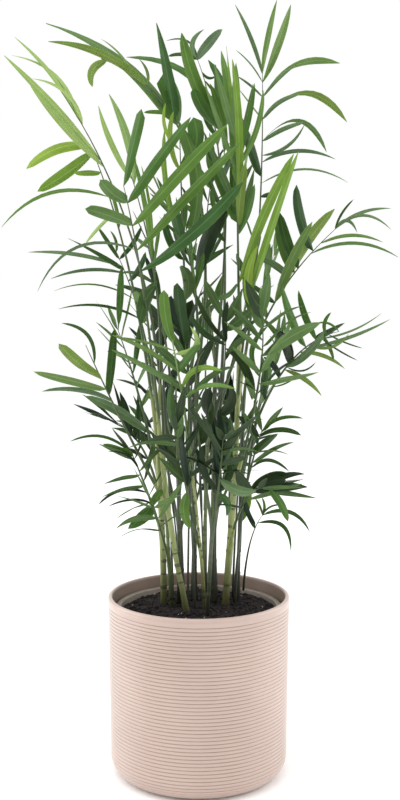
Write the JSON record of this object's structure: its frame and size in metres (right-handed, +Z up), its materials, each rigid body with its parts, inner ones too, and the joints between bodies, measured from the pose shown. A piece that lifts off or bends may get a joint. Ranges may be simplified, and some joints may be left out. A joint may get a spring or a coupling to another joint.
{
  "type": "potted parlour palm",
  "caption": "Potted parlour palm: a clump of slim cane stems with arching, feather-shaped fronds of narrow leaflets, growing in a ribbed, round-bottomed glazed pot that stands flat.",
  "frame": {"origin": "centre of the pot's flat underside, on the surface it stands on", "axes": "+Z up along the pot's axis, front of the plant towards -Y, +X to the viewer's right"},
  "size_m": [0.312, 0.2834, 0.6315],
  "materials": {
    "pot": "satin",
    "grow_pot": "matte",
    "soil": "matte",
    "stem": "satin",
    "leaf": "satin"
  },
  "bodies": {
    "root": {"pot": "pot", "grow_pot": "grow_pot", "soil": "soil", "stem_left_front": "stem", "stem_left_thin": "stem", "stem_left_leaning": "stem", "stem_middle": "stem", "stem_front_thin": "stem", "stem_right_thick": "stem", "stem_right_leaning": "stem", "stem_right_outer": "stem", "stem_back_left": "stem", "stem_back_right": "stem", "stem_middle_left": "stem", "stem_middle_thin": "stem", "stem_front_short": "stem", "frond_back_arching": "leaf", "frond_back_high": "leaf", "frond_back_left": "leaf", "frond_back_left_arching": "leaf", "frond_back_left_tall": "leaf", "frond_back_low_middle": "leaf", "frond_back_low_right": "leaf", "frond_back_right_arching": "leaf", "frond_back_right_tall": "leaf", "frond_back_tall": "leaf", "frond_crown_back": "leaf", "frond_crown_front": "leaf", "frond_crown_left": "leaf", "frond_crown_middle": "leaf", "frond_crown_right": "leaf", "frond_foot_left": "leaf", "frond_foot_left_front": "leaf", "frond_foot_right": "leaf", "frond_foot_right_front": "leaf", "frond_front_bright": "leaf", "frond_front_left": "leaf", "frond_front_middle": "leaf", "frond_front_right": "leaf", "frond_inner_left": "leaf", "frond_inner_right": "leaf", "frond_left_broad": "leaf", "frond_left_fan": "leaf", "frond_left_low": "leaf", "frond_left_low_back": "leaf", "frond_left_middle": "leaf", "frond_left_spray": "leaf", "frond_middle_cross": "leaf", "frond_pale_spear": "leaf", "frond_right_cross": "leaf", "frond_right_front": "leaf", "frond_right_long": "leaf", "frond_right_low": "leaf", "frond_right_spear": "leaf", "frond_seedling": "leaf", "frond_side_left": "leaf", "frond_side_right": "leaf", "frond_upper_middle": "leaf"}
  },
  "joints": []
}
